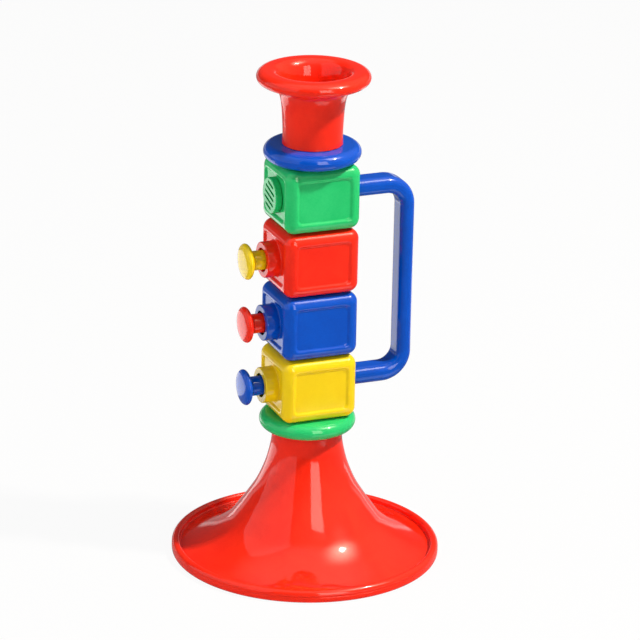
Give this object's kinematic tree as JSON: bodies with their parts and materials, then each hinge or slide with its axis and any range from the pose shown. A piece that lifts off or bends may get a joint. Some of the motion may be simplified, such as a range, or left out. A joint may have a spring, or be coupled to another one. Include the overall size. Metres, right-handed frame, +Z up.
{
  "type": "toy trumpet",
  "caption": "Upright moulded toy trumpet: flared bell, stacked hollow blocks with sprung side plungers, side handle and cup mouthpiece, standing on its bell.",
  "frame": {"origin": "on the floor under the bell's centre, the middle of the underside of the part's bounding box", "axes": "+Z up the stack from the bell to the mouthpiece; +X towards the handle, so the plungers point along -X; +Y to the left of someone who looks along +X"},
  "size_m": [0.1434, 0.1434, 0.27],
  "materials": {
    "red_plastic": "glossy moulded, saturated red",
    "green_plastic": "glossy moulded, mid green",
    "blue_plastic": "glossy moulded, strong blue",
    "yellow_plastic": "glossy moulded, warm yellow",
    "cream_plastic": "satin moulded, natural cream",
    "reed_brass": "rolled strip, lightly polished",
    "spring_steel": "drawn wire",
    "seal_rubber": "soft, matt black"
  },
  "bodies": {
    "trumpet": {"bell": "red_plastic", "lower_ring": "green_plastic", "yellow_block": "yellow_plastic", "yellow_base_plate": "yellow_plastic", "yellow_reed_plate": "cream_plastic", "yellow_reed": "reed_brass", "yellow_reed_rivet": "reed_brass", "blue_block": "blue_plastic", "blue_base_plate": "blue_plastic", "blue_reed_plate": "cream_plastic", "blue_reed": "reed_brass", "blue_reed_rivet": "reed_brass", "red_block": "red_plastic", "red_base_plate": "red_plastic", "red_reed_plate": "cream_plastic", "red_reed": "reed_brass", "red_reed_rivet": "reed_brass", "green_block": "green_plastic", "green_base_plate": "green_plastic", "green_reed_plate": "cream_plastic", "green_reed": "reed_brass", "green_reed_rivet": "reed_brass", "yellow_plunger_spring": "spring_steel", "red_plunger_spring": "spring_steel", "blue_plunger_spring": "spring_steel", "grille": "green_plastic", "handle": "blue_plastic", "upper_ring": "blue_plastic", "mouthpiece": "red_plastic"},
    "yellow_plunger": {"yellow_plunger": "yellow_plastic", "yellow_plunger_seal": "seal_rubber", "yellow_plunger_retainer": "cream_plastic"},
    "red_plunger": {"red_plunger": "red_plastic", "red_plunger_seal": "seal_rubber", "red_plunger_retainer": "cream_plastic"},
    "blue_plunger": {"blue_plunger": "blue_plastic", "blue_plunger_seal": "seal_rubber", "blue_plunger_retainer": "cream_plastic"}
  },
  "joints": [
    {"name": "yellow_plunger_slide", "type": "slide", "parent": "trumpet", "child": "yellow_plunger", "axis": [1, 0, 0], "range_m": [0, 0.005], "stiffness_N_per_m": 200, "springref_m": -0.003, "deforming": ["yellow_plunger_spring"]},
    {"name": "red_plunger_slide", "type": "slide", "parent": "trumpet", "child": "red_plunger", "axis": [1, 0, 0], "range_m": [0, 0.005], "stiffness_N_per_m": 200, "springref_m": -0.003, "deforming": ["red_plunger_spring"]},
    {"name": "blue_plunger_slide", "type": "slide", "parent": "trumpet", "child": "blue_plunger", "axis": [1, 0, 0], "range_m": [0, 0.005], "stiffness_N_per_m": 200, "springref_m": -0.003, "deforming": ["blue_plunger_spring"]}
  ]
}
